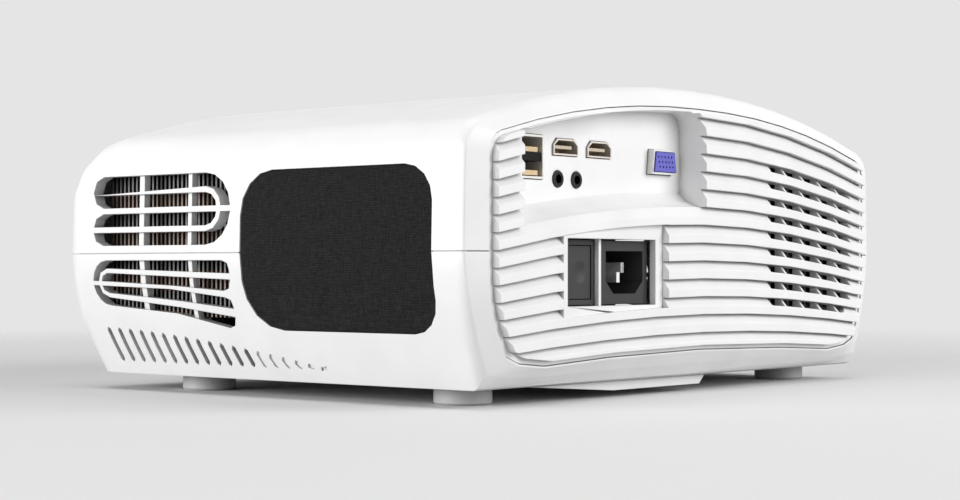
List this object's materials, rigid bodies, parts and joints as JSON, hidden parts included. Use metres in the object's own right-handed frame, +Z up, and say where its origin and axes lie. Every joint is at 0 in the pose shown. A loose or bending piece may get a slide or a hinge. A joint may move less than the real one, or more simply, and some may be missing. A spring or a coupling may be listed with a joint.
{
  "type": "led projector",
  "caption": "White table-top LED projector: arched case, curved louver rear with sunk sockets and mains inlet, side vents, cloth speaker panels, front lens with focus and keystone rings.",
  "frame": {"origin": "middle of the footprint on the table, under the four feet", "axes": "+Z up; the lens looks along -Y; the socket panel faces +Y; the speaker and vent side seen in the picture faces +X"},
  "size_m": [0.29, 0.2284, 0.1233],
  "materials": {
    "shell_white": "white moulded ABS, satin to semi-gloss",
    "speaker_cloth": "dark woven speaker cloth on a moulded frame",
    "black_plastic": "matt black moulded plastic",
    "gloss_black": "gloss black lens surround",
    "inlet_grey": "dark grey moulded plastic",
    "ring_grey": "matt grey ribbed hand ring",
    "plated_metal": "bright nickel-plated steel or brass",
    "socket_blue": "blue moulded socket insulator",
    "circuit_board": "green circuit board laminate",
    "lamp_metal": "bright sheet aluminium",
    "sink_metal": "black anodised aluminium fins",
    "optical_glass": "clear coated optical glass",
    "mirror_face": "front-silvered mirror on a black cradle"
  },
  "bodies": {
    "chassis": {"upper_shell": "shell_white", "lower_shell": "shell_white", "rear_louver_panel": "shell_white", "rear_fan_guard": "shell_white", "speaker_grille_right": "speaker_cloth", "speaker_grille_left": "speaker_cloth", "speaker_driver_right": "black_plastic", "speaker_driver_left": "black_plastic", "lens_bezel": "gloss_black", "control_panel": "shell_white", "keypad_board": "circuit_board", "belly_cover": "shell_white", "foot_rear_right": "shell_white", "foot_rear_left": "shell_white", "mains_inlet": "inlet_grey", "mains_inlet_pins": "plated_metal", "mains_switch_housing": "inlet_grey", "usb_socket": "plated_metal", "usb_insulator": "black_plastic", "hdmi_shell_1": "plated_metal", "hdmi_tongue_1": "black_plastic", "hdmi_shell_2": "plated_metal", "hdmi_tongue_2": "black_plastic", "av_jack": "black_plastic", "headphone_jack": "black_plastic", "vga_shell": "plated_metal", "vga_insulator": "socket_blue", "main_board": "circuit_board", "power_board": "circuit_board", "led_board": "lamp_metal", "heat_sink": "sink_metal", "light_funnel": "lamp_metal", "lcd_panel": "optical_glass", "fresnel_lens_mirror_side": "optical_glass", "fresnel_lens_lamp_side": "optical_glass", "engine_housing": "black_plastic", "engine_lid": "black_plastic", "lens_mount": "black_plastic", "rear_fan_frame": "black_plastic", "sink_fan_frame": "black_plastic", "case_screw_right": "plated_metal", "case_screw_left": "plated_metal"},
    "lens": {"lens_barrel": "black_plastic", "lens_glass": "optical_glass"},
    "focus": {"focus_ring": "ring_grey"},
    "keystone": {"keystone_ring": "ring_grey"},
    "mirror": {"fold_mirror": "mirror_face"},
    "rear_fan": {"rear_fan_rotor": "black_plastic"},
    "sink_fan": {"sink_fan_rotor": "black_plastic"},
    "power_switch": {"mains_switch_cap": "inlet_grey"},
    "key_power_body": {"key_power": "shell_white"},
    "key_source_body": {"key_source": "shell_white"},
    "key_menu_body": {"key_menu": "shell_white"},
    "key_minus_body": {"key_minus": "shell_white"},
    "key_plus_body": {"key_plus": "shell_white"},
    "key_ok_body": {"key_ok": "shell_white"},
    "foot_right_stem": {"foot_front_right_stem": "plated_metal"},
    "foot_right_pad": {"foot_front_right_pad": "shell_white"},
    "foot_left_stem": {"foot_front_left_stem": "plated_metal"},
    "foot_left_pad": {"foot_front_left_pad": "shell_white"}
  },
  "joints": [
    {"name": "focus_ring_turn", "type": "hinge", "parent": "chassis", "child": "focus", "pos_m": [-0.05, -0.093, 0.064], "axis": [0, 1, 0], "range_deg": [-90, 90]},
    {"name": "lens_focus_slide", "type": "slide", "parent": "chassis", "child": "lens", "axis": [0, 1, 0], "range_m": [-0.005, 0.005]},
    {"name": "keystone_ring_turn", "type": "hinge", "parent": "chassis", "child": "keystone", "pos_m": [-0.05, -0.08, 0.064], "axis": [0, 1, 0], "range_deg": [-25, 25]},
    {"name": "mirror_tilt", "type": "hinge", "parent": "chassis", "child": "mirror", "pos_m": [-0.05, -0.02776, 0.064], "axis": [0.7071, 0.7071, 0], "range_deg": [-2.5, 2.5]},
    {"name": "rear_fan_spin", "type": "hinge", "parent": "chassis", "child": "rear_fan", "pos_m": [-0.085, 0.0934, 0.064], "axis": [0, 1, 0], "continuous": true},
    {"name": "sink_fan_spin", "type": "hinge", "parent": "chassis", "child": "sink_fan", "pos_m": [0.106, -0.024, 0.0175], "axis": [0, 0, 1], "continuous": true},
    {"name": "power_switch_press", "type": "slide", "parent": "chassis", "child": "power_switch", "axis": [0, -1, 0], "range_m": [0, 0.003], "stiffness_N_per_m": 600, "springref_m": -0.002},
    {"name": "key_power_press", "type": "slide", "parent": "chassis", "child": "key_power_body", "axis": [0, 0, -1], "range_m": [0, 0.0008], "stiffness_N_per_m": 1500, "springref_m": -0.0004},
    {"name": "key_source_press", "type": "slide", "parent": "chassis", "child": "key_source_body", "axis": [0, 0, -1], "range_m": [0, 0.0008], "stiffness_N_per_m": 1500, "springref_m": -0.0004},
    {"name": "key_menu_press", "type": "slide", "parent": "chassis", "child": "key_menu_body", "axis": [0, 0, -1], "range_m": [0, 0.0008], "stiffness_N_per_m": 1500, "springref_m": -0.0004},
    {"name": "key_minus_press", "type": "slide", "parent": "chassis", "child": "key_minus_body", "axis": [0, 0, -1], "range_m": [0, 0.0008], "stiffness_N_per_m": 1500, "springref_m": -0.0004},
    {"name": "key_plus_press", "type": "slide", "parent": "chassis", "child": "key_plus_body", "axis": [0, 0, -1], "range_m": [0, 0.0008], "stiffness_N_per_m": 1500, "springref_m": -0.0004},
    {"name": "key_ok_press", "type": "slide", "parent": "chassis", "child": "key_ok_body", "axis": [0, 0, -1], "range_m": [0, 0.0008], "stiffness_N_per_m": 1500, "springref_m": -0.0004},
    {"name": "foot_right_extend", "type": "slide", "parent": "chassis", "child": "foot_right_stem", "axis": [0, 0, -1], "range_m": [0, 0.012]},
    {"name": "foot_right_turn", "type": "hinge", "parent": "foot_right_stem", "child": "foot_right_pad", "pos_m": [0.111, -0.0588, 0.003], "axis": [0, 0, -1], "range_deg": [0, 2880]},
    {"name": "foot_left_extend", "type": "slide", "parent": "chassis", "child": "foot_left_stem", "axis": [0, 0, -1], "range_m": [0, 0.012]},
    {"name": "foot_left_turn", "type": "hinge", "parent": "foot_left_stem", "child": "foot_left_pad", "pos_m": [-0.111, -0.0588, 0.003], "axis": [0, 0, -1], "range_deg": [0, 2880]}
  ],
  "couplings": [
    {"joint": "lens_focus_slide", "follows": "focus_ring_turn", "m_per_rad": 0.00318},
    {"joint": "mirror_tilt", "follows": "keystone_ring_turn", "ratio": 0.1},
    {"joint": "foot_right_turn", "follows": "foot_right_extend", "rad_per_m": 4188.8},
    {"joint": "foot_left_turn", "follows": "foot_left_extend", "rad_per_m": 4188.8}
  ]
}
